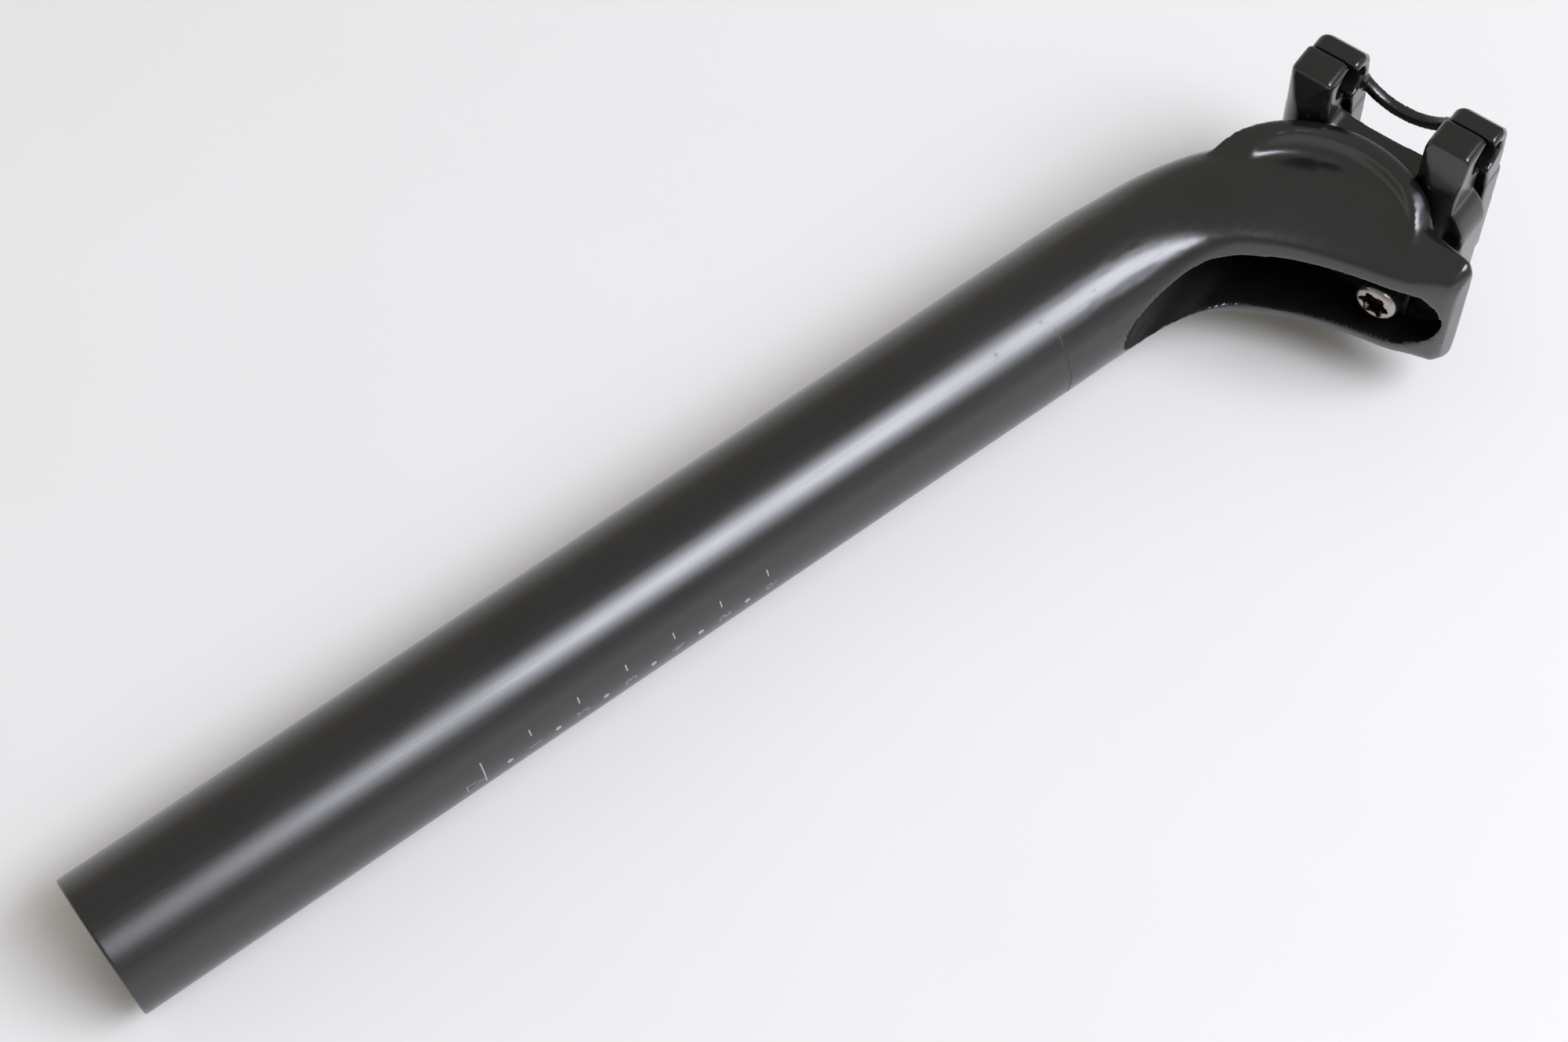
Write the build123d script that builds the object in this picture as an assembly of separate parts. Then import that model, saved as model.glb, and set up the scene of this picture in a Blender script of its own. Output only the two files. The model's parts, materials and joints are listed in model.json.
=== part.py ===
import math
import os

from build123d import *

os.makedirs("parts", exist_ok=True)

# Seatpost with a two-bolt tilting saddle clamp, in millimetres.
# Post frame: X runs up the tube's axis from its lower end, +Y is the front, Z is across.
# Clamp frame: origin on the arch's axis, X runs rearward along the saddle rails, Y is up from them.

# Tube
tube_diameter = 27.2
tube_wall = 2.2
tube_length = 205.0
tube_end_chamfer = 0.6
bore_end_wall = 13.0

# Place of the rails: height above the plain tube, setback behind its axis, angle to it
rail_rise = 66.4
setback = 13.65
rail_angle = 73.0

# Saddle rails
rail_diameter = 7.0
rail_spacing = 44.0

# Arch on the head that the clamp rocks on
arch_radius = 25.6
arch_below_rails = 30.4
arch_width = 35.2
arch_edge = 1.3
rim_width = 2.2
dish_depth = 5.2
dish_width = 6.5
cove_steps = 3
arch_front_angle = 176.0
arch_rear_angle = 24.0
taper_top = 17.0
taper_low = 3.0
taper_low_width = 19.8
flare_front = 27.0
flare_rear = 23.5
flare_end_width = 21.0
shoulder_front = 21.5
shoulder_width = 31.6
flare_full = 13.0
flare_round = 12.0

# Tail
tail_reach = 29.4
tail_top = 15.0
tail_under = 7.6
tail_waist = 20.0
tail_waist_top = 17.4
tail_waist_under = 4.9
tail_lean = 0.6
tail_half_width = 16.6
tail_ridge = 12.8
tail_chamfer = 1.4
tail_top_fullness = 0.76
tail_low_fullness = 0.86

# Pocket in the head's underside
pocket_width = 17.0
pocket_front = 16.9
pocket_rear = 27.6
pocket_roof = 12.9
pocket_front_corner = 5.0
pocket_rear_corner = 8.4

# Clamp
clamp_setback = 1.0
clamp_length = 37.6
ear_length = 9.0
ear_wall = 1.5
ear_depth = 6.3
ear_nose = 7.0
ear_round = 1.6
cradle_band = 3.8
cradle_waist = 28.0
cradle_under_rails = 8.8
cradle_bar_width = 31.0
cradle_front_inner = 5.2
cradle_rear_inner = 8.0
cradle_front_overhang = 1.0
cradle_rear_overhang = 3.4
cradle_bar_corner = 4.0
cradle_inner_corner = 6.5
cradle_rear_corner = 10.0
bar_below_rails = 0.6
cap_height = 3.4
cap_wall = 2.6
cap_front_round = 2.0
cap_rear_chamfer = 0.7
cap_front_inset = 0.5
cap_rear_overhang = 1.5
upper_bar_length = 12.4
upper_bar_width = 30.0
upper_bar_corner = 3.0
upper_bar_lift = 0.6
rib_width = 2.2
rib_height = 2.0
rib_waist = 28.4

# Bolts, washers and barrel nuts
bolt_diameter = 5.0
bolt_head_diameter = 8.5
bolt_head_height = 5.0
bolt_head_chamfer = 0.4
bolt_past_nut = 0.8
socket_radius = 2.35
socket_lobe_radius = 0.8
socket_lobe_sides = 8
socket_depth = 2.6
washer_radius = 4.8
washer_length = 12.0
washer_axis = 10.8
washer_below_axis = 0.6
nut_diameter = 8.5
nut_length = 14.4
nut_above_bar = 0.5
tilt_range = 8.0

# Clearances
arch_gap = 0.15
seat_gap = 0.12
parting_gap = 0.1
bolt_gap = 0.3
thread_gap = 0.4

# Sizes that follow from the ones above
tube_radius = tube_diameter / 2
rail_radius = rail_diameter / 2
rail_offset = rail_spacing / 2
ear_face = rail_offset + rail_radius + ear_wall
rail_inside = rail_offset - rail_radius - ear_wall
bolt_radius = bolt_diameter / 2
head_radius = bolt_head_diameter / 2
nut_radius = nut_diameter / 2
bolt_offset = (clamp_length - ear_length) / 2
bolt_places = {"front": clamp_setback - bolt_offset, "rear": clamp_setback + bolt_offset}
arch_half = arch_width / 2
crease_height = arch_below_rails - ear_depth
bar_bottom = arch_below_rails - cradle_under_rails
bar_top = arch_below_rails - bar_below_rails
band_top = arch_radius + arch_gap + cradle_band
block_top = arch_below_rails - parting_gap / 2
cap_bottom = arch_below_rails + parting_gap / 2
cap_top = arch_below_rails + rail_radius + cap_wall
upper_bar_bottom = arch_below_rails + upper_bar_lift
nut_axis = cap_top + nut_above_bar
head_seat = washer_axis - washer_below_axis
rail_turn = math.radians(rail_angle)
rail_dir = Vector(math.cos(rail_turn), -math.sin(rail_turn), 0)
up_dir = Vector(math.sin(rail_turn), math.cos(rail_turn), 0)
rail_centre = Vector(tube_length + rail_rise, -setback, 0)
arch_centre = rail_centre - up_dir * arch_below_rails - rail_dir * clamp_setback
clamp_at = Location(tuple(arch_centre), (0, 0, -rail_angle))
round_fullness = 0.414
corner_share = 0.382
steps_per_row = 2

# Turn of the bolts about their washers, and of the nuts in the clamp, as the clamp tilts
bolt_swing = nut_axis / (nut_axis - washer_axis)
bolt_turn = math.radians(tilt_range * bolt_swing)
nut_turn = math.radians(tilt_range * (bolt_swing - 1))


# Point of the post frame, measured along the tube from the end of its plain length
def from_tube(along, forward):
    return Vector(tube_length + along, forward, 0)


# Point of the post frame for a point of the clamp frame
def from_arch(rearward, upward):
    return arch_centre + rail_dir * rearward + up_dir * upward


# Plane of a neck section: its X runs from the low point to the high one, its Y across
def section_plane(high, low):
    return Plane(origin=(high + low) / 2, x_dir=high - low, z_dir=(high - low).cross(Vector(0, 0, 1)))


# Quarter of a section between two sides' middles: round at a fullness of 0.414, sharp at 1
def quarter_curve(first, corner, last, fullness):
    corner_pull = (first + last - corner * 2) * (1 - fullness) * corner_share
    return Bezier(
        first, first + (corner - first) * fullness, corner + corner_pull, last + (corner - last) * fullness,
        last,
    )


# Sizes of the tail's section near its end, shrunk all round by an inset
def tail_row(inset):
    along = tail_reach - tail_chamfer + inset
    return (from_arch(along, tail_top - inset), from_arch(along - tail_lean, tail_under + inset),
            tail_half_width - inset, tail_ridge - inset, tail_top_fullness, tail_low_fullness)


# Section of the neck in four quarters: a rounded trapezium, wider above than below
def head_section(high, low, half_width, ridge, top_fullness, low_fullness):
    half_height = (high - low).length / 2
    top, side, bottom = Vector(half_height, 0), Vector(0, (half_width + ridge) / 2), Vector(-half_height, 0)
    top_corner, low_corner = Vector(half_height, half_width), Vector(-half_height, ridge)
    half = [
        quarter_curve(top, top_corner, side, top_fullness),
        quarter_curve(side, low_corner, bottom, low_fullness),
    ]
    return section_plane(high, low) * make_face(half + [mirror(curve, about=Plane.XZ) for curve in half])


# Round section where the neck meets the tube, in the same four quarters
def tube_section():
    plane = section_plane(from_tube(0, tube_radius), from_tube(0, -tube_radius))
    return plane * make_face([CenterArc((0, 0), tube_radius, 90 * quarter, 90) for quarter in range(4)])


# Value at a share of the way from the second of four rows to the third, on a smooth curve through them
def smooth_between(before, first, second, after, share):
    slope_first, slope_second = (second - before) / 2, (after - first) / 2
    bend = (first - second) * 2 + slope_first + slope_second
    return first + slope_first * share + (second - first - slope_first - bend) * share**2 + bend * share**3


# Cylinder across the clamp
def cross_cylinder(radius, length, x, y):
    return Pos(x, y, 0) * Cylinder(radius, length)


# Cylinder along the bolts, between two heights
def bolt_cylinder(radius, x, low, high):
    return Pos(x, (low + high) / 2, 0) * Rot(X=90) * Cylinder(radius, high - low)


# Box between limits, centred across
def clamp_box(x_low, x_high, y_low, y_high, width):
    centre = Pos((x_low + x_high) / 2, (y_low + y_high) / 2, 0)
    return centre * Box(x_high - x_low, y_high - y_low, width)


# Plan shape seen down the bolts, drawn out between two heights
def plan_extrude(shape, low, high):
    plane = Plane(origin=(0, high, 0), x_dir=(1, 0, 0), z_dir=(0, -1, 0))
    return extrude(plane * shape, amount=high - low)


# Rectangle in plan between fore-and-aft limits, with one corner radius at each end
def plan_rectangle(x_low, x_high, width, low_corner, high_corner):
    shape = Pos((x_low + x_high) / 2, 0) * Rectangle(x_high - x_low, width)
    ends = shape.vertices().group_by(Axis.X)
    shape = fillet(ends[0], low_corner)
    return fillet(shape.vertices().group_by(Axis.X)[-1], high_corner)


# Profile seen along the rails, as (across, height) points of one side, mirrored and drawn out
def across_extrude(points, x_low, x_high):
    outline = points + [(-across, height) for across, height in reversed(points) if across > 0]
    plane = Plane(origin=(x_low, 0, 0), x_dir=(0, 0, -1), z_dir=(1, 0, 0))
    return extrude(plane * make_face(Polyline(*outline, close=True)), amount=x_high - x_low)


# Edges of the caps' front (0) or rear (-1) face that stand above the parting
def upper_edges(caps, end):
    face = caps.faces().filter_by(Axis.X).sort_by(Axis.X)[end]
    return [edge for edge in face.edges() if edge.center().Y > upper_bar_bottom]


# Two grooves for the saddle rails
def rail_grooves():
    groove = Rot(Y=90) * Cylinder(rail_radius, 2 * clamp_length)
    near = Pos(clamp_setback, arch_below_rails, rail_offset) * groove
    return near + mirror(near, about=Plane.XY)


# Neck and head, as rows of high point, low point, half width above and below, fullness above and below:
# the tube's round end runs through squarer sections to the flat end of the tail
round_tube = (tube_radius, tube_radius, round_fullness, round_fullness)
rows = [
    (from_tube(-9, tube_radius), from_tube(-9, -tube_radius), *round_tube),
    (from_tube(0, tube_radius), from_tube(0, -tube_radius), *round_tube),
    (from_tube(9, tube_radius), from_tube(8, -tube_radius), *round_tube),
    (from_tube(17, tube_radius - 0.6), from_tube(15.5, -tube_radius), tube_radius, tube_radius, 0.44, 0.47),
    (from_tube(28.5, tube_radius - 2.4), from_tube(23.5, -tube_radius - 0.1), 13.9, 13.6, 0.53, 0.66),
    (from_arch(-26.7, 11.2), from_arch(-8.0, -5.3), 14.4, 13.6, 0.62, 0.86),
    (from_arch(-18.4, 17.2), from_arch(-1.0, -1.2), 14.9, 13.1, 0.68, 0.93),
    (from_arch(-6.0, arch_radius - 3.6), from_arch(6.0, 1.5), 15.5, 12.5, 0.72, 0.96),
    (from_arch(6.1, arch_radius - 3.6), from_arch(12.5, 3.2), 16.0, 12.1, 0.74, 0.96),
    (from_arch(tail_waist, tail_waist_top), from_arch(tail_waist, tail_waist_under), 16.4, 12.1, 0.76, 0.96),
    tail_row(0),
    (from_arch(tail_reach + 10, tail_top - 4), from_arch(tail_reach + 9, tail_under + 3),
     tail_half_width, tail_ridge, tail_top_fullness, tail_low_fullness),
]
neck_sections = [tube_section()]
for four_rows in zip(rows, rows[1:], rows[2:], rows[3:]):
    for step in range(1, steps_per_row + 1):
        sizes = [smooth_between(*values, step / steps_per_row) for values in zip(*four_rows)]
        neck_sections.append(head_section(*sizes))
tail_end = head_section(*tail_row(tail_chamfer))
neck = loft(neck_sections) + loft([neck_sections[-1], tail_end], ruled=True)
tube = Rot(Y=90) * Cylinder(tube_radius, tube_length, align=(Align.CENTER, Align.CENTER, Align.MIN))

# Arch: a turned disc with a raised rim and dished sides, of which the upper part shows
rim_inside = arch_radius - arch_edge - rim_width
dish_half = arch_half - dish_depth
dish_edge = rim_inside - dish_width
arch_core = dish_edge - arch_half / 2
cove = TangentArc((dish_edge, dish_half), (rim_inside, arch_half), tangent=(1, 0))
half_disc = make_face(
    [
        Polyline((dish_edge, dish_half), (arch_core, dish_half), (arch_core, 0), (arch_radius, 0),
                 (arch_radius, arch_half - arch_edge)),
        Polyline((arch_radius, arch_half - arch_edge), (arch_radius - arch_edge, arch_half),
                 (rim_inside, arch_half)),
        Polyline(*[cove @ (step / cove_steps) for step in range(cove_steps + 1)]),
    ]
)
disc_plane = Plane(origin=(0, 0, 0), x_dir=(1, 0, 0), z_dir=(0, -1, 0))
half_arch = revolve(disc_plane * half_disc, axis=Axis.Z, revolution_arc=arch_front_angle - arch_rear_angle)
arch = Rot(Z=arch_rear_angle) * (half_arch + mirror(half_arch, about=Plane.XY))
flare_half = [(flare_rear, flare_end_width / 2), (flare_full, arch_half), (-flare_full, arch_half),
              (-shoulder_front, shoulder_width / 2), (-flare_front, flare_end_width / 2)]
flare = make_face(Polyline(*flare_half, *[(x, -z) for x, z in reversed(flare_half)], close=True))
flare = fillet([corner for corner in flare.vertices() if abs(corner.X) < shoulder_front], flare_round)
arch = arch & plan_extrude(flare, -arch_radius, 2 * arch_radius)
arch_taper = [(0, taper_low), (taper_low_width / 2, taper_low), (arch_half, taper_top),
              (arch_half, 2 * arch_radius), (0, 2 * arch_radius)]
arch = arch & across_extrude(arch_taper, -2 * arch_radius, 2 * arch_radius)

# Pocket: a long slot cut along the bolts, a chamber round the front bolt's head, washer seats and bolt slots
pocket_plan = plan_rectangle(-pocket_front, pocket_rear, pocket_width, pocket_front_corner, pocket_rear_corner)
pocket = plan_extrude(pocket_plan, -2 * arch_radius, pocket_roof)
seat_length = washer_length + 2 * bolt_gap
chamber_low = head_seat - bolt_head_height - head_radius
chamber_reach = head_radius + (bolt_head_height + washer_radius) * math.sin(bolt_turn) + bolt_gap
front_bolt_x = bolt_places["front"]
pocket += clamp_box(front_bolt_x - chamber_reach, front_bolt_x, chamber_low, pocket_roof, seat_length)
slot_half = bolt_radius + bolt_gap + (arch_radius - washer_axis) * math.tan(bolt_turn)
for x in bolt_places.values():
    pocket += cross_cylinder(washer_radius + seat_gap, seat_length, x, washer_axis)
    bolt_slot = Pos(x, 0) * SlotOverall(2 * slot_half, bolt_diameter + 2 * bolt_gap)
    pocket += plan_extrude(bolt_slot, washer_axis, arch_radius + cradle_band)

# Post: tube, neck and arch in one, with a bore from the lower end
bore_radius = tube_radius - tube_wall
bore = Rot(Y=90) * Cylinder(
    bore_radius, tube_length - bore_end_wall, align=(Align.CENTER, Align.CENTER, Align.MIN)
)
post = tube + neck + clamp_at * arch - clamp_at * pocket - bore
end_rims = post.edges().filter_by(GeomType.CIRCLE).group_by(Axis.X)[0]
post = chamfer(end_rims, tube_end_chamfer)

# Lower cradle: two bars with rail ears, joined by a thin band over the arch
front_end = clamp_setback - clamp_length / 2
rear_end = clamp_setback + clamp_length / 2
ear_spans = {"front": (front_end, front_end + ear_length), "rear": (rear_end - ear_length, rear_end)}
ear_profile = [
    (0, bar_bottom), (arch_half, bar_bottom), (ear_face, crease_height), (ear_face, block_top),
    (rail_inside, block_top), (cradle_bar_width / 2, bar_top), (0, bar_top),
]
nose_side = Pos((front_end + rear_end) / 2, (bar_bottom + block_top) / 2) * Rectangle(
    clamp_length + 2 * cradle_front_overhang, block_top - bar_bottom
)
nose_side = fillet(nose_side.vertices().sort_by_distance((front_end, bar_bottom))[0], ear_nose)
nose_trim = extrude(nose_side, amount=ear_face, both=True)
front_plan = plan_rectangle(front_end - cradle_front_overhang, clamp_setback - cradle_front_inner,
                            cradle_bar_width, cradle_bar_corner, cradle_inner_corner)
rear_plan = plan_rectangle(clamp_setback + cradle_rear_inner, rear_end + cradle_rear_overhang,
                           cradle_bar_width, cradle_bar_corner, cradle_rear_corner)
front_ears = across_extrude(ear_profile, *ear_spans["front"])
front_ears = fillet(front_ears.edges().filter_by(Axis.Y), ear_round)
front_block = (front_ears + plan_extrude(front_plan, bar_bottom, bar_top)) & nose_trim
rear_ears = across_extrude(ear_profile, *ear_spans["rear"])
rear_ears = fillet(rear_ears.edges().filter_by(Axis.Y), ear_round)
rear_block = rear_ears + plan_extrude(rear_plan, bar_bottom, bar_top)
band_side = cradle_bar_width / 2
band_front, band_rear = bolt_places["front"], bolt_places["rear"]
band_plan = make_face(
    [
        ThreePointArc((band_front, band_side), (clamp_setback, cradle_waist / 2), (band_rear, band_side)),
        Line((band_rear, band_side), (band_rear, -band_side)),
        ThreePointArc((band_rear, -band_side), (clamp_setback, -cradle_waist / 2), (band_front, -band_side)),
        Line((band_front, -band_side), (band_front, band_side)),
    ]
)
cradle = front_block + rear_block + plan_extrude(band_plan, bar_bottom, band_top)
cradle -= Cylinder(arch_radius + arch_gap, 2 * ear_face)
cradle -= rail_grooves()
cradle_hole = bolt_radius + 2 * bolt_gap + (nut_axis - bar_bottom) * math.tan(nut_turn)
for x in bolt_places.values():
    cradle -= bolt_cylinder(cradle_hole, x, 0, cap_top)

# Upper clamp: caps over the rails, bars that carry the barrel nuts, thin waisted side ribs, clear of the band
cap_profile = [
    (0, upper_bar_bottom), (upper_bar_width / 2, upper_bar_bottom), (rail_inside, cap_bottom),
    (ear_face, cap_bottom), (ear_face, cap_bottom + cap_height),
    (rail_offset + cap_wall, cap_top - cap_wall / 4), (rail_offset - rail_radius, cap_top), (0, cap_top),
]
bars = []
for end, x in bolt_places.items():
    bar_plan = Pos(x, 0) * RectangleRounded(upper_bar_length, upper_bar_width, upper_bar_corner)
    bars.append(plan_extrude(bar_plan, upper_bar_bottom, cap_top))
    low, high = ear_spans[end]
    caps = across_extrude(cap_profile, low + cap_front_inset, high + cap_rear_overhang)
    caps = fillet(upper_edges(caps, 0), cap_front_round)
    bars.append(chamfer(upper_edges(caps, -1), cap_rear_chamfer))
rib_ends = ear_spans["front"][1], ear_spans["rear"][0]
for side in (-1, 1):
    rib_line = ThreePointArc(
        (rib_ends[0] - rib_width, side * rail_offset), (clamp_setback, side * rib_waist / 2),
        (rib_ends[1] + rib_width, side * rail_offset),
    )
    bars.append(plan_extrude(trace(rib_line, line_width=rib_width), cap_top - rib_height, cap_top))
upper = bars[0] + bars[1:]
upper -= plan_extrude(offset(band_plan, parting_gap), bar_bottom, band_top + parting_gap)
upper -= rail_grooves()
upper_hole = bolt_radius + 2 * bolt_gap + (nut_axis - upper_bar_bottom) * math.tan(nut_turn)
for x in bolt_places.values():
    upper -= cross_cylinder(nut_radius + seat_gap, nut_length + 2 * bolt_gap, x, nut_axis)
    upper -= bolt_cylinder(upper_hole, x, arch_below_rails, nut_axis)

# Bolt, washer and barrel nut, drawn on the arch's axis line
bolt_end = nut_axis + nut_radius + bolt_past_nut
head_face = head_seat - bolt_head_height
bolt = bolt_cylinder(head_radius, 0, head_face, head_seat)
bolt = chamfer(bolt.edges().filter_by(GeomType.CIRCLE).sort_by(Axis.Y)[0], bolt_head_chamfer)
bolt += bolt_cylinder(bolt_radius, 0, head_seat, bolt_end)
socket = Circle(socket_radius)
for lobe in range(6):
    socket += Rot(Z=60 * lobe) * Pos(socket_radius, 0) * RegularPolygon(socket_lobe_radius, socket_lobe_sides)
bolt -= plan_extrude(socket, head_face, head_face + socket_depth)
washer = cross_cylinder(washer_radius, washer_length, 0, washer_axis)
washer &= clamp_box(-washer_radius, washer_radius, head_seat, washer_axis + washer_radius, washer_length)
washer -= bolt_cylinder(bolt_radius + bolt_gap / 2, 0, 0, nut_axis)
nut = cross_cylinder(nut_radius, nut_length, 0, nut_axis)
nut -= bolt_cylinder(bolt_radius + thread_gap, 0, nut_axis - nut_diameter, nut_axis + nut_diameter)

# Every piece in the post frame
pieces = {"post": post, "lower_cradle": clamp_at * cradle, "upper_clamp": clamp_at * upper}
for end, x in bolt_places.items():
    at_bolt = clamp_at * Pos(x, 0, 0)
    pieces[end + "_bolt"] = at_bolt * bolt
    pieces[end + "_washer"] = at_bolt * washer
    pieces[end + "_barrel_nut"] = at_bolt * nut

# The post lies on its side: the floor touches the tube's lower rim and the crease of one pair of ears
crease = from_arch(0, crease_height) - Vector(0, 0, ear_face)
rim = Vector(tube_end_chamfer, 0, -tube_radius)
floor_up = (crease - rim).cross(rail_dir).normalized()
floor_up = floor_up * math.copysign(1, floor_up.Z)
floor = Plane(origin=rim, x_dir=Vector(1, 0, 0) - floor_up * floor_up.X, z_dir=floor_up)
lying = {name: floor.to_local_coords(piece) for name, piece in pieces.items()}
box = Compound(list(lying.values())).bounding_box()
stand = Pos(-box.center().X, -box.center().Y, -box.min.Z)
for name, piece in lying.items():
    export_step(stand * piece, "parts/" + name + ".step")
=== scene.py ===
import json
import math

import bmesh
import bpy
from mathutils import Matrix, Vector


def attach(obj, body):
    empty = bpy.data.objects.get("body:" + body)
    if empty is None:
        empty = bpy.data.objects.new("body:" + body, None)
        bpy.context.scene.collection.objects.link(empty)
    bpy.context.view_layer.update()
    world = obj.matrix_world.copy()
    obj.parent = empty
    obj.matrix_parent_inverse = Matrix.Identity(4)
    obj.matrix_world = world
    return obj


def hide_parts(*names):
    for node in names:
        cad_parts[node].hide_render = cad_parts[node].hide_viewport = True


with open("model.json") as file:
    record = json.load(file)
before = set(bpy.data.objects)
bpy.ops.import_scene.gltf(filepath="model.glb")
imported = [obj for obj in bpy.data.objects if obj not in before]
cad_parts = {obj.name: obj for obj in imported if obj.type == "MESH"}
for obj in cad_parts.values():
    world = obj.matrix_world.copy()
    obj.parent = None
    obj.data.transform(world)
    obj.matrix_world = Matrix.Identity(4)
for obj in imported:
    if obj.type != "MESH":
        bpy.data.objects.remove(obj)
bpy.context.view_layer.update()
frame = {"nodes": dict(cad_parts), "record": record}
record = frame["record"]
mm = 0.001

# Post frame: x up the tube from the shank's lower end, y to the front, z across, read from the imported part
shank = next(mount for mount in record["mounts"] if mount["name"] == "shank")
joints = {joint["name"]: joint for joint in record["behaviour"]["joints"]}
postX = -Vector(shank["axis"]).normalized()
postZ = Vector(joints["clamp_tilt"]["axis"]).normalized()
postY = postZ.cross(postX)
tubeRadius = shank["dims"]["r_mm"]
shankEnd = Vector(shank["pos_m"]) - postX * shank["dims"]["length_mm"] * mm / 2
postAxes = Matrix((postX, postY, postZ)).transposed().to_4x4()
postPlace = Matrix.Translation(shankEnd) @ postAxes  # metres in the post frame to metres in the scene

# Clamp frame: origin on the arch's axis, x rearward along the rails, y up the bolts, z across
archAxis, frontSeat, rearSeat, rearNut = [Vector(joints[name]["pos_m"]) for name in (
    "clamp_tilt", "front_bolt_swing", "rear_bolt_swing", "rear_nut_turn")]
railward, boltward = (rearSeat - frontSeat).normalized(), (rearNut - rearSeat).normalized()
clampPlace = Matrix.Translation(archAxis) @ Matrix((railward, boltward, postZ)).transposed().to_4x4()
print("frame loaded, tube radius", tubeRadius)


def inPost(x, y, z):
    return postPlace @ (Vector((x, y, z)) * mm)


def hexLinear(code):
    parts = [int(code[i:i + 2], 16) / 255 for i in (1, 3, 5)]
    return [c / 12.92 if c <= 0.04045 else ((c + 0.055) / 1.055) ** 2.4 for c in parts] + [1.0]


def addNode(tree, kind, settings=None, **sockets):
    # a socket is named, or numbered like _0; a node given for it is linked by its first output
    node = tree.nodes.new(kind)
    for name, value in (settings or {}).items():
        setattr(node, name, value)
    for name, value in sockets.items():
        socket = node.inputs[int(name[1:])] if name[1:].isdigit() else node.inputs[name.replace("_", " ")]
        if isinstance(value, bpy.types.Node):
            value = value.outputs[0]
        if isinstance(value, bpy.types.NodeSocket):
            tree.links.new(value, socket)
        else:
            socket.default_value = value
    return node


def newMaterial(name):
    material = bpy.data.materials.new(name)
    material.use_nodes = True
    material.node_tree.nodes.clear()
    return material, material.node_tree


def setSurface(tree, **sockets):
    shader = addNode(tree, "ShaderNodeBsdfPrincipled", **sockets)
    addNode(tree, "ShaderNodeOutputMaterial", Surface=shader)


def placed(tree, place):
    # coordinates in millimetres of a frame of the part's own, such as the tube's axis or a bolt's
    where = addNode(tree, "ShaderNodeTexCoord").outputs["Object"]
    back = place.inverted()
    return addNode(tree, "ShaderNodeMapping", {"vector_type": "POINT"}, Vector=where,
                   Location=back.translation / mm, Rotation=back.to_euler(), Scale=(1 / mm, 1 / mm, 1 / mm))


def evaluated(piece):
    bpy.context.view_layer.update()
    return bpy.data.meshes.new_from_object(piece.evaluated_get(bpy.context.evaluated_depsgraph_get()))


def addObject(name, data):
    piece = bpy.data.objects.new(name, data)
    bpy.context.scene.collection.objects.link(piece)
    return piece


def fineSkin(node, voxel):
    # the solid's own mesh, welded and remeshed in even quads, so that easing can round its edges
    mesh = bmesh.new()
    mesh.from_mesh(frame["nodes"][node].data)
    bmesh.ops.remove_doubles(mesh, verts=mesh.verts, dist=1e-6)
    data = bpy.data.meshes.new("draft")
    mesh.to_mesh(data)
    mesh.free()
    draft = addObject("draft", data)
    remesh = draft.modifiers.new("evenQuads", "REMESH")
    remesh.mode = "VOXEL"
    remesh.voxel_size = voxel * mm
    skin = evaluated(draft)
    mesh = bmesh.new()
    mesh.from_mesh(skin)
    bpy.data.objects.remove(draft)
    bpy.data.meshes.remove(data)
    bpy.data.meshes.remove(skin)
    return mesh


def ease(mesh, verts, rounds):
    for _ in range(rounds):
        bmesh.ops.smooth_vert(mesh, verts=verts, factor=0.5,
                              use_axis_x=True, use_axis_y=True, use_axis_z=True)


def setPiece(name, mesh, material, body):
    for face in mesh.faces:
        face.smooth = True
    data = bpy.data.meshes.new(name)
    mesh.normal_update()
    mesh.to_mesh(data)
    mesh.free()
    data.materials.append(material)
    piece = addObject(name, data)
    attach(piece, body)
    return piece


# Post: forged head on a drawn tube, one piece of aluminium; sizes in mm in the post frame,
# and those of the dish and the pocket in the clamp frame
post = {
    "voxel": 0.46, "ease": 3, "dishEase": 10, "dishFrom": 13.0, "dishTo": 25.9, "dishAbove": 6.0,
    # the head is cut from the tube here, and made truly round up to the start of the neck
    "cut": 180.0, "cutMargin": 4.0, "roundTo": 203.0, "roundBlend": 8.0, "roundSlack": 0.4,
    "sides": 128, "lengths": 6, "bore": 11.4, "below": 0.6, "rimRound": 0.5, "rimLead": 0.3, "rimSteps": 6,
    "pocketHalf": 8.5, "pocketFront": -16.9, "pocketFrontCorner": 5.0,
    "pocketRear": 27.6, "pocketRearCorner": 8.4, "pocketRoof": 13.3,
    "liningSlack": 0.15, "wallFacing": 0.45, "roofFrom": 8.0,
    # finish: alumina is the oxide skin's IOR; the pocket's walls take a near-black painted shade with an IOR
    # of their own
    "colour": "#0d0e10", "worn": "#151618", "alumina": 1.77, "tubeRoughness": 0.27, "headRoughness": 0.22,
    "headFrom": 185.0, "headTo": 235.0, "grain": 0.22, "grainDepth": 0.006, "grainStrength": 0.6,
    "smudge": 22.0, "smudgeRough": 0.07, "scratch": 0.5, "scratchLength": 30.0, "scratchRough": 0.06,
    "ring": 196.9, "ringWidth": 0.16, "ringWander": 8.333, "ringDrift": 1.2, "ringFrom": -7.0,
    "ringFull": -10.5, "ringRough": 0.35, "ringGroove": 4.0,
    "scuffColour": "#38393c", "scuffRough": 0.12, "scuffInset": 1.6, "scuffEdge": 0.4, "fray": 2.6,
    "scuffs": [(185.0, -6.2, 12.1, 0.45), (186.3, -8.0, 11.0, 0.4), (195.5, -5.9, 12.2, 0.45),
               (207.4, -6.4, 12.0, 0.35), (67.7, 7.7, 11.2, 0.4)],  # x, y, z and reach
    # grime colours the collar's ring; the other colours here are painted shade for the pocket's walls and
    # roof, so the pocket reads as a deep shadow
    "grime": "#050506", "paintedShadeDeep": "#030303", "paintedShadePale": "#0d0c0b", "paintedShadePatch": 3.0,
    "pocketRoughness": 0.62, "pocketUneven": 0.15, "pocketIor": 1.25,
}


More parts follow.
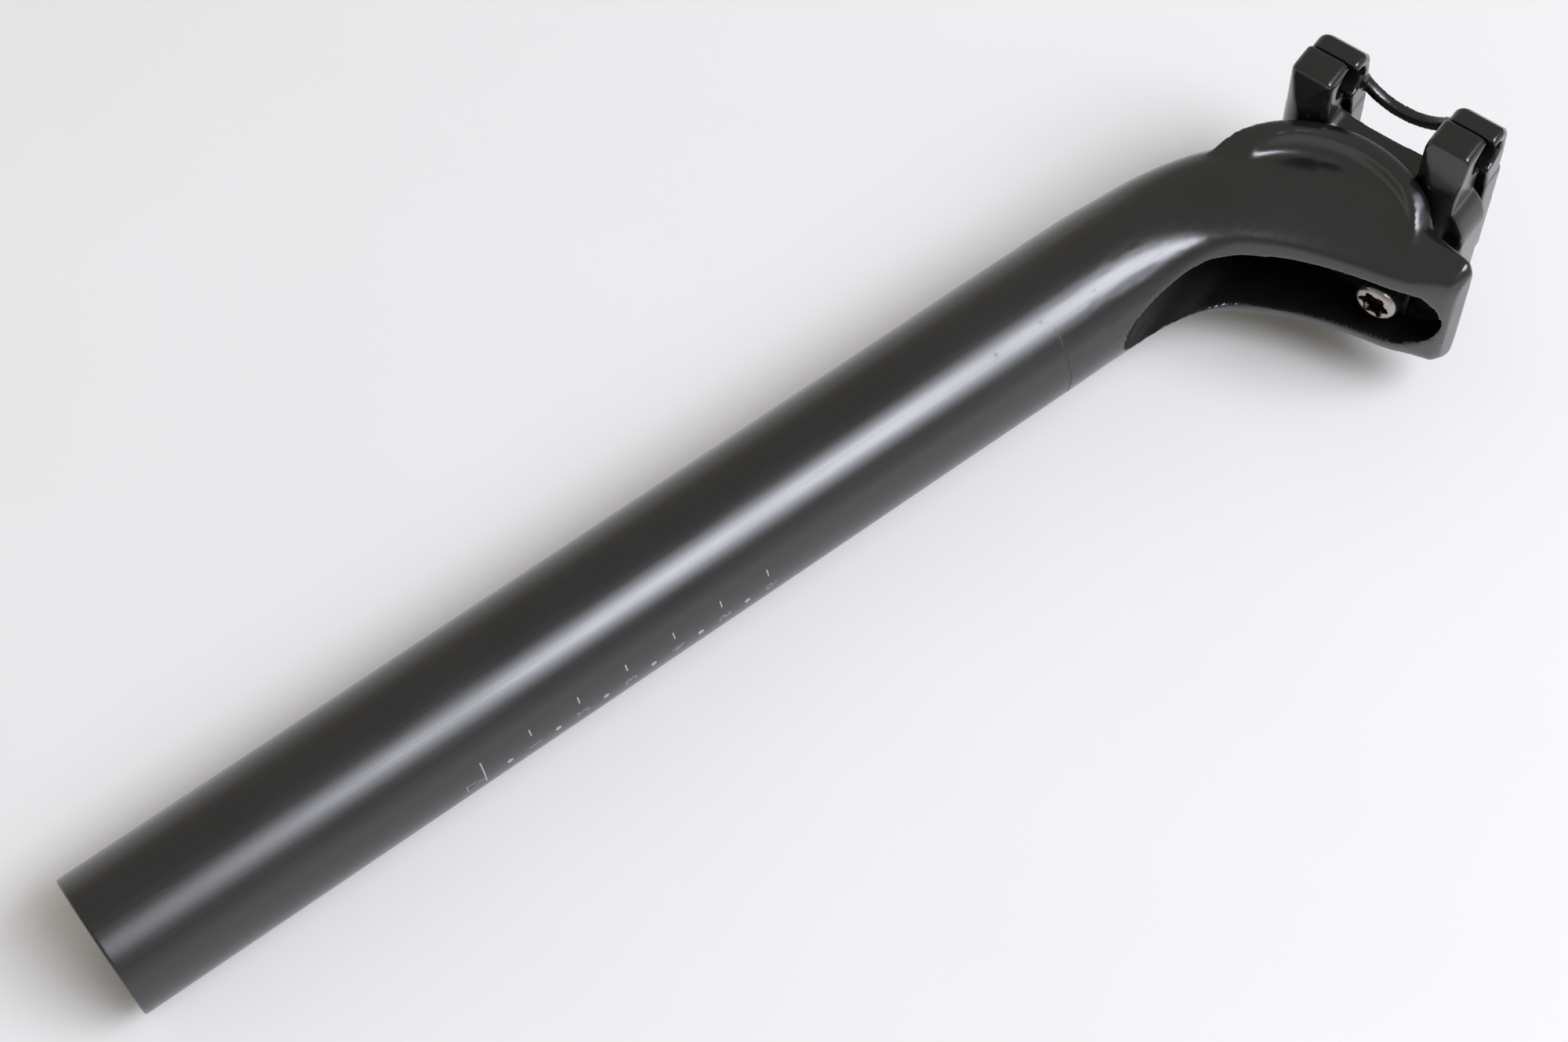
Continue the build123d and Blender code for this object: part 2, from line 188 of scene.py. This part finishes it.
def blackPost():
    # Black anodised aluminium, blasted before dyeing: satin along the tube, handled glossier at the head.
    # The clear oxide skin gives a cool sheen over a nearly black dye; the grit's pits blur its edges,
    # and are drawn coarser than real ones, to show.
    material, tree = newMaterial("satinBlackAnodised")
    where = placed(tree, postPlace)
    parts = addNode(tree, "ShaderNodeSeparateXYZ", Vector=where)
    along, forward = parts.outputs[0], parts.outputs[1]
    smudge = addNode(tree, "ShaderNodeTexNoise", Vector=where, Scale=1 / post["smudge"], Detail=5.0)
    drawn = addNode(tree, "ShaderNodeMapping", Vector=where,
                    Scale=(1 / post["scratchLength"], 1 / post["scratch"], 1 / post["scratch"]))
    scratch = addNode(tree, "ShaderNodeTexNoise", Vector=drawn, Scale=1.0, Detail=3.0)
    grain = addNode(tree, "ShaderNodeTexNoise", Vector=where, Scale=1 / post["grain"], Detail=2.0)

    # a thin dark line behind the neck where the frame's collar bit
    offRing = addNode(tree, "ShaderNodeMath", {"operation": "SUBTRACT"}, _0=along, _1=post["ring"])
    wander = addNode(tree, "ShaderNodeTexNoise", Vector=where, Scale=1 / post["ringWander"], Detail=2.0)
    drift = addNode(tree, "ShaderNodeMath", {"operation": "MULTIPLY_ADD"}, _0=wander,
                    _1=2 * post["ringDrift"], _2=-post["ringDrift"])
    offLine = addNode(tree, "ShaderNodeMath", {"operation": "ADD"}, _0=offRing, _1=drift)
    away = addNode(tree, "ShaderNodeMath", {"operation": "ABSOLUTE"}, _0=offLine)
    line = addNode(tree, "ShaderNodeMapRange", {"interpolation_type": "SMOOTHSTEP"}, Value=away,
                   From_Min=post["ringWidth"] * 0.5, From_Max=post["ringWidth"] * 1.5,
                   To_Min=1.0, To_Max=0.0)
    behind = addNode(tree, "ShaderNodeMapRange", {"interpolation_type": "SMOOTHSTEP"}, Value=forward,
                     From_Min=post["ringFull"], From_Max=post["ringFrom"], To_Min=1.0, To_Max=0.0)
    ring = addNode(tree, "ShaderNodeMath", {"operation": "MULTIPLY"}, _0=line, _1=behind)

    # a few bare scuffs, their edges frayed by the grain
    scuffed = 0.0
    for x, y, z, reach in post["scuffs"]:
        near = addNode(tree, "ShaderNodeVectorMath", {"operation": "DISTANCE"}, _0=where, _1=(x, y, z))
        frayed = addNode(tree, "ShaderNodeMath", {"operation": "MULTIPLY_ADD"}, _0=grain, _1=-post["fray"],
                         _2=near.outputs[1])
        inner = reach - post["scuffInset"]
        spot = addNode(tree, "ShaderNodeMapRange", Value=frayed, From_Min=inner,
                       From_Max=inner + post["scuffEdge"], To_Min=1.0, To_Max=0.0)
        scuffed = addNode(tree, "ShaderNodeMath", {"operation": "MAXIMUM"}, _0=scuffed, _1=spot)
    dye = addNode(tree, "ShaderNodeMix", {"data_type": "RGBA"}, Factor=smudge,
                  _6=hexLinear(post["colour"]), _7=hexLinear(post["worn"]))
    bare = addNode(tree, "ShaderNodeMix", {"data_type": "RGBA"}, Factor=scuffed, _6=dye.outputs[2],
                   _7=hexLinear(post["scuffColour"]))
    colour = addNode(tree, "ShaderNodeMix", {"data_type": "RGBA"}, Factor=ring, _6=bare.outputs[2],
                     _7=hexLinear(post["grime"]))

    rough = addNode(tree, "ShaderNodeMapRange", {"interpolation_type": "SMOOTHSTEP"}, Value=along,
                    From_Min=post["headFrom"], From_Max=post["headTo"],
                    To_Min=post["tubeRoughness"], To_Max=post["headRoughness"])
    uneven = addNode(tree, "ShaderNodeMath", {"operation": "MULTIPLY_ADD"}, _0=smudge,
                     _1=2 * post["smudgeRough"], _2=-post["smudgeRough"])
    rubbed = addNode(tree, "ShaderNodeMath", {"operation": "MULTIPLY_ADD"}, _0=scratch,
                     _1=2 * post["scratchRough"], _2=-post["scratchRough"])
    spread = addNode(tree, "ShaderNodeMath", {"operation": "ADD"}, _0=uneven, _1=rubbed)
    plain = addNode(tree, "ShaderNodeMath", {"operation": "ADD"}, _0=rough, _1=spread)
    marked = addNode(tree, "ShaderNodeMath", {"operation": "MULTIPLY_ADD"}, _0=ring, _1=post["ringRough"],
                     _2=plain)
    total = addNode(tree, "ShaderNodeMath", {"operation": "MULTIPLY_ADD"}, _0=scuffed,
                    _1=post["scuffRough"], _2=marked)

    groove = addNode(tree, "ShaderNodeMath", {"operation": "MULTIPLY_ADD"}, _0=ring,
                     _1=-post["ringGroove"], _2=grain)
    bump = addNode(tree, "ShaderNodeBump", Height=groove, Distance=post["grainDepth"] * mm,
                   Strength=post["grainStrength"])
    setSurface(tree, Base_Color=colour.outputs[2], Roughness=total, Normal=bump, IOR=post["alumina"])
    return material


def grimyPocket():
    # Anodised wall painted nearly black and matt as painted shade, so the pocket reads as a deep shadow
    material, tree = newMaterial("paintedShadePocketWall")
    where = placed(tree, postPlace)
    patch = addNode(tree, "ShaderNodeTexNoise", Vector=where, Scale=1 / post["paintedShadePatch"], Detail=5.0)
    colour = addNode(tree, "ShaderNodeMix", {"data_type": "RGBA"}, Factor=patch,
                     _6=hexLinear(post["paintedShadeDeep"]), _7=hexLinear(post["paintedShadePale"]))
    rough = addNode(tree, "ShaderNodeMath", {"operation": "MULTIPLY_ADD"}, _0=patch,
                    _1=2 * post["pocketUneven"], _2=post["pocketRoughness"] - post["pocketUneven"])
    setSurface(tree, Base_Color=colour.outputs[2], Roughness=rough, IOR=post["pocketIor"])
    return material


def linePocket(mesh):
    # faces of the pocket's walls and roof take the second material, the painted shade
    back, toward = clampPlace.inverted(), clampPlace.to_3x3().inverted()
    mesh.normal_update()
    for face in mesh.faces:
        spot, facing = back @ face.calc_center_median() / mm, toward @ face.normal
        corner = post["pocketFrontCorner"] if spot.x < 0 else post["pocketRearCorner"]
        past = max(post["pocketFront"] + corner - spot.x, spot.x - post["pocketRear"] + corner, 0)
        beside = max(abs(spot.z) - post["pocketHalf"] + corner, 0)
        inPlan = math.hypot(past, beside) < corner + post["liningSlack"]
        wallOrRoof = abs(facing.y) < post["wallFacing"] or spot.y > post["roofFrom"]
        if inPlan and wallOrRoof and spot.y < post["pocketRoof"]:
            face.material_index = 1


def cutBelow(mesh, along):
    everything = mesh.verts[:] + mesh.edges[:] + mesh.faces[:]
    bmesh.ops.bisect_plane(mesh, geom=everything, plane_co=inPost(along, 0, 0), plane_no=postX,
                           clear_inner=True)


def forgedHead():
    mesh = fineSkin("post", post["voxel"])
    cutBelow(mesh, post["cut"] - post["cutMargin"])
    ease(mesh, mesh.verts[:], post["ease"])
    # the dish under the arch's rim is blended by hand, so it gets a few rounds more
    toClamp = clampPlace.inverted()
    dish = []
    for vert in mesh.verts:
        arm = toClamp @ vert.co / mm
        if post["dishFrom"] < arm.xy.length < post["dishTo"] and arm.y > post["dishAbove"]:
            dish.append(vert)
    ease(mesh, dish, post["dishEase"])
    # exact round tube and bore below the neck, so that the head meets the drawn tube with no step
    back = postPlace.inverted()
    for vert in mesh.verts:
        spot = back @ vert.co / mm
        if spot.x < post["roundTo"]:
            out = Vector((0, spot.y, spot.z))
            for radius in (tubeRadius, post["bore"]):
                if abs(out.length - radius) < post["roundSlack"]:
                    share = min(1, (post["roundTo"] - spot.x) / post["roundBlend"])
                    drawn = Vector((spot.x, 0, 0)) + out * (1 + (radius / out.length - 1) * share)
                    vert.co = postPlace @ (drawn * mm)
    cutBelow(mesh, post["cut"])
    return mesh


def drawnTube(mesh):
    # outline of the wall from the cut down the outside, round the rim and back up the bore
    rim, low, lengths = post["rimRound"], -post["below"], post["lengths"]
    quarter = [math.pi / 2 * step / post["rimSteps"] for step in range(post["rimSteps"] + 1)]
    outline = [(post["cut"] * (1 - step / lengths), tubeRadius) for step in range(lengths)]
    outline.append((low + rim + post["rimLead"], tubeRadius))
    for angle in quarter:
        outline.append((low + rim * (1 - math.sin(angle)), tubeRadius - rim * (1 - math.cos(angle))))
    for angle in quarter:
        outline.append((low + rim * (1 - math.cos(angle)), post["bore"] + rim * (1 - math.sin(angle))))
    outline.append((low + rim + post["rimLead"], post["bore"]))
    outline += [(post["cut"] * step / lengths, post["bore"]) for step in range(1, lengths + 1)]
    turns = [math.tau * side / post["sides"] for side in range(post["sides"])]
    rings = []
    for x, reach in outline:
        rings.append([mesh.verts.new(inPost(x, reach * math.cos(turn), reach * math.sin(turn)))
                      for turn in turns])
    for one, two in zip(rings, rings[1:]):
        for side in range(post["sides"]):
            after = (side + 1) % post["sides"]
            mesh.faces.new((one[side], two[side], two[after], one[after]))


head = forgedHead()
linePocket(head)
drawnTube(head)
postPiece = setPiece("forgedPost", head, blackPost(), "post")
# the second material is the painted shade of the pocket's walls and roof
postPiece.data.materials.append(grimyPocket())
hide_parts("post")
print("post forged:", len(postPiece.data.polygons), "faces")

# Clamp: lower cradle and upper clamp, forged and tumbled, then anodised black
clamp = {
    "voxel": 0.3, "ease": 4, "cradleEase": 6,
    # edge is the lighter colour on sharp edges: partly rubbed wear, partly painted highlight
    "colour": "#0f1012", "edge": "#2c2d30", "edgeFrom": 0.53, "edgeTo": 0.62, "alumina": 1.7,
    "roughness": 0.19, "roughSpread": 0.05, "grain": 0.3, "grainDepth": 0.006, "grainStrength": 0.5,
    "smudge": 9.0, "smudgeLow": 0.3, "smudgeHigh": 0.7,
}


def blackClamp():
    # Black anodised aluminium of a tumbled forging: smoother than the post; edges painted a little grey,
    # partly as rubbed wear and partly as painted highlight.
    # The grain that tumbling leaves is drawn coarser than real, to show.
    material, tree = newMaterial("tumbledBlackAnodised")
    where = placed(tree, postPlace)
    smudge = addNode(tree, "ShaderNodeTexNoise", Vector=where, Scale=1 / clamp["smudge"], Detail=4.0)
    grain = addNode(tree, "ShaderNodeTexNoise", Vector=where, Scale=1 / clamp["grain"], Detail=2.0)
    # sharp edges, where the smudge noise is high, are painted lighter: partly rubbed wear, partly painted
    # highlight
    sharp = addNode(tree, "ShaderNodeNewGeometry").outputs["Pointiness"]
    edge = addNode(tree, "ShaderNodeMapRange", Value=sharp, From_Min=clamp["edgeFrom"],
                   From_Max=clamp["edgeTo"])
    rubbed = addNode(tree, "ShaderNodeMath", {"operation": "MULTIPLY"}, _0=edge, _1=smudge)
    colour = addNode(tree, "ShaderNodeMix", {"data_type": "RGBA"}, Factor=rubbed,
                     _6=hexLinear(clamp["colour"]), _7=hexLinear(clamp["edge"]))
    rough = addNode(tree, "ShaderNodeMapRange", Value=smudge,
                    From_Min=clamp["smudgeLow"], From_Max=clamp["smudgeHigh"],
                    To_Min=clamp["roughness"] - clamp["roughSpread"],
                    To_Max=clamp["roughness"] + clamp["roughSpread"])
    bump = addNode(tree, "ShaderNodeBump", Height=grain, Distance=clamp["grainDepth"] * mm,
                   Strength=clamp["grainStrength"])
    setSurface(tree, Base_Color=colour.outputs[2], Roughness=rough, Normal=bump, IOR=clamp["alumina"])
    return material


def easedPiece(name, node, sizes, material, body, rounds=0, shape=None):
    mesh = fineSkin(node, sizes["voxel"])
    ease(mesh, mesh.verts[:], sizes["ease"] + rounds)
    if shape:
        shape(mesh)
    piece = setPiece(name, mesh, material, body)
    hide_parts(node)
    return piece


clampFinish = blackClamp()
for name, node, rounds in (("railCradle", "lower_cradle", clamp["cradleEase"]),
                           ("railCaps", "upper_clamp", 0)):
    made = easedPiece(name, node, clamp, clampFinish, "clamp", rounds)
    print(name, "made:", len(made.data.polygons), "faces")

# Bolts and barrel nuts: turned stainless steel, with the sockets stained brown inside.
# Sizes are from the washer's axis, along the bolt toward its nut
bolt = {
    "voxel": 0.17, "ease": 2, "edgeRound": 1.4, "headRadius": 4.25, "headEnd": -5.6,
    "colour": "#bab8b3", "dull": "#94918b", "cloud": 1.11, "roughness": 0.27, "roughSpread": 0.07,
    "stain": "#4a2b1d", "stainRoughness": 0.55, "stainFade": 0.06, "stainFrom": -5.52, "stainFull": -5.34,
    "socketReach": 3.25, "socketEnd": -2.6,
    "ringSpacing": 0.3, "ringDepth": 0.004, "reliefStrength": 0.6,
    "pitch": 0.8, "threadDepth": 0.25, "threadFrom": 4.0, "threadReach": 2.6,
}


def boltPlace(end):
    seat, nut = [Vector(joints[end + kind]["pos_m"]) for kind in ("_bolt_swing", "_nut_turn")]
    up = (nut - seat).normalized()
    return Matrix.Translation(seat) @ Matrix((postZ.cross(up), postZ, up)).transposed().to_4x4()


def roundHead(mesh, place):
    # the head's outer edge is turned to a full round, which catches the light from outside the pocket
    back, edge = place.inverted(), bolt["edgeRound"]
    middle, level = bolt["headRadius"] - edge, bolt["headEnd"] + edge
    for vert in mesh.verts:
        spot = back @ vert.co / mm
        out, down = spot.xy.length - middle, level - spot.z
        if out > 0 and down > 0:
            reach = edge / math.hypot(out, down)
            ratio = (middle + out * reach) / spot.xy.length
            vert.co = place @ (Vector((spot.x * ratio, spot.y * ratio, level - down * reach)) * mm)


def stainless(end):
    # Stainless steel, turned and lightly polished: bright with fine rings,
    # and brown where water stood in the socket
    material, tree = newMaterial("turnedStainless" + end.capitalize())
    where = placed(tree, boltPlace(end))
    parts = addNode(tree, "ShaderNodeSeparateXYZ", Vector=where)
    along = parts.outputs[2]
    flat = addNode(tree, "ShaderNodeCombineXYZ", X=parts.outputs[0], Y=parts.outputs[1])
    out = addNode(tree, "ShaderNodeVectorMath", {"operation": "LENGTH"}, _0=flat).outputs[1]
    cloud = addNode(tree, "ShaderNodeTexNoise", Vector=where, Scale=1 / bolt["cloud"], Detail=4.0)
    reach = addNode(tree, "ShaderNodeMapRange", Value=out, From_Max=bolt["socketReach"],
                    From_Min=bolt["socketReach"] - bolt["stainFade"], To_Min=1.0, To_Max=0.0)
    deep = addNode(tree, "ShaderNodeMapRange", Value=along, From_Min=bolt["stainFrom"],
                   From_Max=bolt["stainFull"])
    short = addNode(tree, "ShaderNodeMath", {"operation": "LESS_THAN"}, _0=along, _1=bolt["socketEnd"])
    inside = addNode(tree, "ShaderNodeMath", {"operation": "MULTIPLY"}, _0=reach, _1=deep)
    stained = addNode(tree, "ShaderNodeMath", {"operation": "MULTIPLY"}, _0=inside, _1=short)
    steel = addNode(tree, "ShaderNodeMix", {"data_type": "RGBA"}, Factor=cloud,
                    _6=hexLinear(bolt["colour"]), _7=hexLinear(bolt["dull"]))
    colour = addNode(tree, "ShaderNodeMix", {"data_type": "RGBA"}, Factor=stained, _6=steel.outputs[2],
                     _7=hexLinear(bolt["stain"]))
    polish = addNode(tree, "ShaderNodeMath", {"operation": "MULTIPLY_ADD"}, _0=cloud,
                     _1=2 * bolt["roughSpread"], _2=bolt["roughness"] - bolt["roughSpread"])
    rough = addNode(tree, "ShaderNodeMix", {"data_type": "FLOAT"}, Factor=stained, _2=polish,
                    _3=bolt["stainRoughness"])

    # turning rings on the head and the thread above it; the rings are drawn coarser than real ones, to show
    turned = addNode(tree, "ShaderNodeMath", {"operation": "MULTIPLY"}, _0=out,
                     _1=math.tau / bolt["ringSpacing"])
    rings = addNode(tree, "ShaderNodeMath", {"operation": "SINE"}, _0=turned)
    angle = addNode(tree, "ShaderNodeMath", {"operation": "ARCTAN2"}, _0=parts.outputs[1],
                    _1=parts.outputs[0])
    climb = addNode(tree, "ShaderNodeMath", {"operation": "MULTIPLY_ADD"}, _0=along,
                    _1=math.tau / bolt["pitch"], _2=angle)
    crest = addNode(tree, "ShaderNodeMath", {"operation": "SINE"}, _0=climb)
    onShank = addNode(tree, "ShaderNodeMath", {"operation": "GREATER_THAN"}, _0=along, _1=bolt["threadFrom"])
    thin = addNode(tree, "ShaderNodeMath", {"operation": "LESS_THAN"}, _0=out, _1=bolt["threadReach"])
    threaded = addNode(tree, "ShaderNodeMath", {"operation": "MULTIPLY"}, _0=onShank, _1=thin)
    ridge = addNode(tree, "ShaderNodeMath", {"operation": "MULTIPLY"}, _0=crest, _1=threaded)
    height = addNode(tree, "ShaderNodeMath", {"operation": "MULTIPLY_ADD"}, _0=ridge,
                     _1=bolt["threadDepth"] / bolt["ringDepth"], _2=rings)
    bump = addNode(tree, "ShaderNodeBump", Height=height, Distance=bolt["ringDepth"] * mm,
                   Strength=bolt["reliefStrength"])
    setSurface(tree, Base_Color=colour.outputs[2], Roughness=rough, Normal=bump, Metallic=1.0)
    return material


# Half-round washers: steel, blackened and oiled; the barrel nuts are meshed as finely
washer = {"voxel": 0.22, "ease": 2, "colour": "#1d1d1f", "dry": "#333335", "cloud": 1.6,
          "roughness": 0.42, "roughSpread": 0.15}


def blackenedSteel():
    # Steel blackened in a hot salt bath and oiled: dark and dull, patchy where the oil has dried
    material, tree = newMaterial("blackenedSteel")
    where = placed(tree, postPlace)
    cloud = addNode(tree, "ShaderNodeTexNoise", Vector=where, Scale=1 / washer["cloud"], Detail=4.0)
    colour = addNode(tree, "ShaderNodeMix", {"data_type": "RGBA"}, Factor=cloud,
                     _6=hexLinear(washer["colour"]), _7=hexLinear(washer["dry"]))
    rough = addNode(tree, "ShaderNodeMath", {"operation": "MULTIPLY_ADD"}, _0=cloud,
                    _1=2 * washer["roughSpread"], _2=washer["roughness"] - washer["roughSpread"])
    setSurface(tree, Base_Color=colour.outputs[2], Roughness=rough, Metallic=1.0)
    return material


washerFinish = blackenedSteel()
for end in ("front", "rear"):
    steel = stainless(end)
    made = easedPiece(end + "SocketBolt", end + "_bolt", bolt, steel, end + "_bolt_set",
                      shape=lambda mesh: roundHead(mesh, boltPlace(end)))
    easedPiece(end + "HalfWasher", end + "_washer", washer, washerFinish, end + "_bolt_set")
    easedPiece(end + "BarrelNut", end + "_barrel_nut", washer, steel, end + "_nut")
    print(end, "bolt set made:", len(made.data.polygons), "faces on the bolt")

# Printed height scale: fine grey ticks about 10 mm apart, a dot midway and outlined figures beside them.
# Sizes in mm, places along the tube in the post frame, and turns in degrees round it from its front
scale = {
    "first": 68.4, "spacing": 10.1, "count": 7, "turn": 163.5, "tick": 1.7, "longTick": 6.6,
    "tickWidth": 0.26, "line": 0.075, "lengths": 8, "proud": 0.02,
    "dot": 0.6, "dotTurn": 179.8, "dotSides": 24, "figure": 3.4, "figureTurn": 180.5, "figureRelief": 0.2,
    "arrowLength": 3.8, "arrowHalf": 4.8, "arrowTurn": 180.5,
    "colour": "#b9bcbe", "thin": "#7d8284", "patch": 0.5, "roughness": 0.42, "wornRough": 0.2,
}


def greyInk():
    # Pad-printed grey ink: a flat thin film, rubbed through in places, so it reads as fine broken lines
    material, tree = newMaterial("padPrintedGreyInk")
    where = placed(tree, postPlace)
    worn = addNode(tree, "ShaderNodeTexNoise", Vector=where, Scale=1 / scale["patch"], Detail=3.0)
    colour = addNode(tree, "ShaderNodeMix", {"data_type": "RGBA"}, Factor=worn,
                     _6=hexLinear(scale["thin"]), _7=hexLinear(scale["colour"]))
    rough = addNode(tree, "ShaderNodeMath", {"operation": "MULTIPLY_ADD"}, _0=worn, _1=scale["wornRough"],
                    _2=scale["roughness"])
    setSurface(tree, Base_Color=colour.outputs[2], Roughness=rough)
    return material


def onTube(along, turn, proud=scale["proud"]):
    angle, reach = math.radians(turn), tubeRadius + proud
    return inPost(along, reach * math.cos(angle), reach * math.sin(angle))


def arcTurn(length):
    return math.degrees(length / tubeRadius)


def inkLine(mesh, start, end, width):
    # a line drawn between two (along, turn) places, laid on the tube in short lengths
    run = Vector((end[0] - start[0], math.radians(end[1] - start[1]) * tubeRadius))
    side = Vector((-run.y, run.x)).normalized() * width / 2
    rows = []
    for step in range(scale["lengths"] + 1):
        along = start[0] + (end[0] - start[0]) * step / scale["lengths"]
        turn = start[1] + (end[1] - start[1]) * step / scale["lengths"]
        rows.append([mesh.verts.new(onTube(along + hand * side.x, turn + arcTurn(hand * side.y)))
                     for hand in (-1, 1)])
    for one, two in zip(rows, rows[1:]):
        mesh.faces.new((one[0], two[0], two[1], one[1]))


def inkDot(mesh, along, turn):
    rim = []
    for step in range(scale["dotSides"]):
        angle = math.tau * step / scale["dotSides"]
        rim.append(mesh.verts.new(onTube(along + scale["dot"] * math.cos(angle),
                                         turn + arcTurn(scale["dot"] * math.sin(angle)))))
    mesh.faces.new(rim)


def inkFigure(mesh, text, along, turn):
    data = bpy.data.curves.new("figureLine", "FONT")
    data.body = text
    data.size = scale["figure"]
    data.align_x = "CENTER"
    data.align_y = "CENTER"
    data.fill_mode = "NONE"
    data.bevel_depth = scale["line"]
    data.bevel_resolution = 0
    drawn = addObject("figureLine", data)
    flat = evaluated(drawn)
    verts = []
    for vert in flat.vertices:
        proud = scale["proud"] + vert.co.z * scale["figureRelief"]
        verts.append(mesh.verts.new(onTube(along + vert.co.y, turn + arcTurn(-vert.co.x), proud)))
    for face in flat.polygons:
        mesh.faces.new([verts[i] for i in face.vertices])
    bpy.data.objects.remove(drawn)
    bpy.data.meshes.remove(flat)
    bpy.data.curves.remove(data)


ink = greyInk()
ticks, dots, figures = bmesh.new(), bmesh.new(), bmesh.new()
for place in range(scale["count"]):
    along = scale["first"] + scale["spacing"] * place
    length = scale["longTick"] if place == 0 else scale["tick"]
    start = scale["turn"] - arcTurn(scale["tick"] / 2)
    inkLine(ticks, (along, start), (along, start + arcTurn(length)), scale["tickWidth"])
    if place:
        inkFigure(figures, str(place), along, scale["figureTurn"])
        inkDot(dots, along - scale["spacing"] / 2, scale["dotTurn"])
# a slim outlined arrowhead hangs from the long tick that marks the start of the scale
tip = (scale["first"], scale["arrowTurn"])
low = scale["first"] - scale["arrowLength"]
wings = [(low, scale["arrowTurn"] - scale["arrowHalf"]), (low, scale["arrowTurn"] + scale["arrowHalf"])]
for start, end in ((tip, wings[0]), (wings[0], wings[1]), (wings[1], tip)):
    inkLine(ticks, start, end, 2 * scale["line"])
for name, mesh in (("scaleTicks", ticks), ("scaleDots", dots), ("scaleFigures", figures)):
    setPiece(name, mesh, ink, "post")
print("scale printed")

# Pale painted board under the part; its size is in metres and its mottle in mm
floor = {"colour": "#eeedec", "shade": "#eae9e7", "size": 4.0, "mottle": 60.0, "roughness": 0.8, "sheen": 0.2}


def paleBoard():
    # Board painted off-white with a roller: matt, with faint broad unevenness
    material, tree = newMaterial("palePaintedBoard")
    where = addNode(tree, "ShaderNodeTexCoord").outputs["Object"]
    mottle = addNode(tree, "ShaderNodeTexNoise", Vector=where, Scale=1 / (floor["mottle"] * mm), Detail=3.0)
    colour = addNode(tree, "ShaderNodeMix", {"data_type": "RGBA"}, Factor=mottle,
                     _6=hexLinear(floor["shade"]), _7=hexLinear(floor["colour"]))
    setSurface(tree, Base_Color=colour.outputs[2], Roughness=floor["roughness"],
               Specular_IOR_Level=floor["sheen"])
    return material


board = bmesh.new()
bmesh.ops.create_grid(board, x_segments=1, y_segments=1, size=floor["size"] / 2)
boardData = bpy.data.meshes.new("floorBoard")
board.to_mesh(boardData)
board.free()
boardData.materials.append(paleBoard())
boardPiece = addObject("floorBoard", boardData)
print("floor laid")

# Light: a wide cool window wall beyond the head with a brighter pane in its middle, in a warm pale room.
# Places in mm in the post frame, the pane in metres, and wallTop as the upward part of a direction
light = {
    "at": (450.0, -452.0, 727.0), "aim": (150.0, 0.0, 0.0), "colour": "#f0f3ff",
    "wallSpread": 45.0, "wallStrength": 1.4, "paneLong": 0.70, "paneWide": 0.36, "paneRadiance": 7.5,
    "room": "#efe9de", "ceiling": 0.42, "walls": 0.85, "wallTop": 0.45,
}
lampAt, lampAim = inPost(*light["at"]), inPost(*light["aim"])
facing = (lampAt - lampAim).normalized()
across = (postX - facing * postX.dot(facing)).normalized()
turned = Matrix((across, facing.cross(across), facing)).transposed().to_4x4()
wall = bpy.data.lights.new("windowWall", "SUN")
wall.angle = math.radians(light["wallSpread"])
wall.energy = light["wallStrength"]
pane = bpy.data.lights.new("windowPane", "AREA")
pane.shape = "ELLIPSE"
pane.size, pane.size_y = light["paneLong"], light["paneWide"]
pane.energy = light["paneRadiance"] * math.pi * math.pi / 4 * pane.size * pane.size_y
for lamp in (wall, pane):
    lamp.color = hexLinear(light["colour"])[:3]
    lampPiece = addObject(lamp.name, lamp)
    lampPiece.matrix_world = Matrix.Translation(lampAt) @ turned

# the room is paler round its walls than overhead
world = bpy.data.worlds.new("paleRoom")
bpy.context.scene.world = world
world.use_nodes = True
tree = world.node_tree
tree.nodes.clear()
direction = addNode(tree, "ShaderNodeTexCoord").outputs["Generated"]
toward = addNode(tree, "ShaderNodeSeparateXYZ", Vector=direction)
level = addNode(tree, "ShaderNodeMapRange", {"interpolation_type": "SMOOTHSTEP"}, Value=toward.outputs[2],
                From_Min=0.0, From_Max=light["wallTop"], To_Min=light["walls"], To_Max=light["ceiling"])
room = addNode(tree, "ShaderNodeBackground", Color=hexLinear(light["room"]), Strength=level)
addNode(tree, "ShaderNodeOutputWorld", Surface=room)
print("lights set")

# Camera from where the photograph was taken: mm in the post frame, focal length in pixels of its width
view = {
    "eye": (8.868, -216.340, 471.088), "right": (0.80582, -0.59055, -0.04364),
    "up": (0.53987, 0.70238, 0.46391), "focal": 3800.0, "imageWidth": 2000.0, "sensor": 36.0, "near": 0.01,
}
camera = bpy.data.cameras.new("photoCamera")
camera.sensor_width = view["sensor"]
camera.lens = view["focal"] * view["sensor"] / view["imageWidth"]
camera.clip_start = view["near"]
cameraPiece = addObject("photoCamera", camera)
right, up = Vector(view["right"]).normalized(), Vector(view["up"]).normalized()
cameraAxes = Matrix((right, up, right.cross(up))).transposed().to_4x4()
cameraPiece.matrix_world = Matrix.Translation(inPost(*view["eye"])) @ postAxes @ cameraAxes
bpy.context.scene.camera = cameraPiece
bpy.context.scene.view_settings.view_transform = "Standard"
print("camera set")
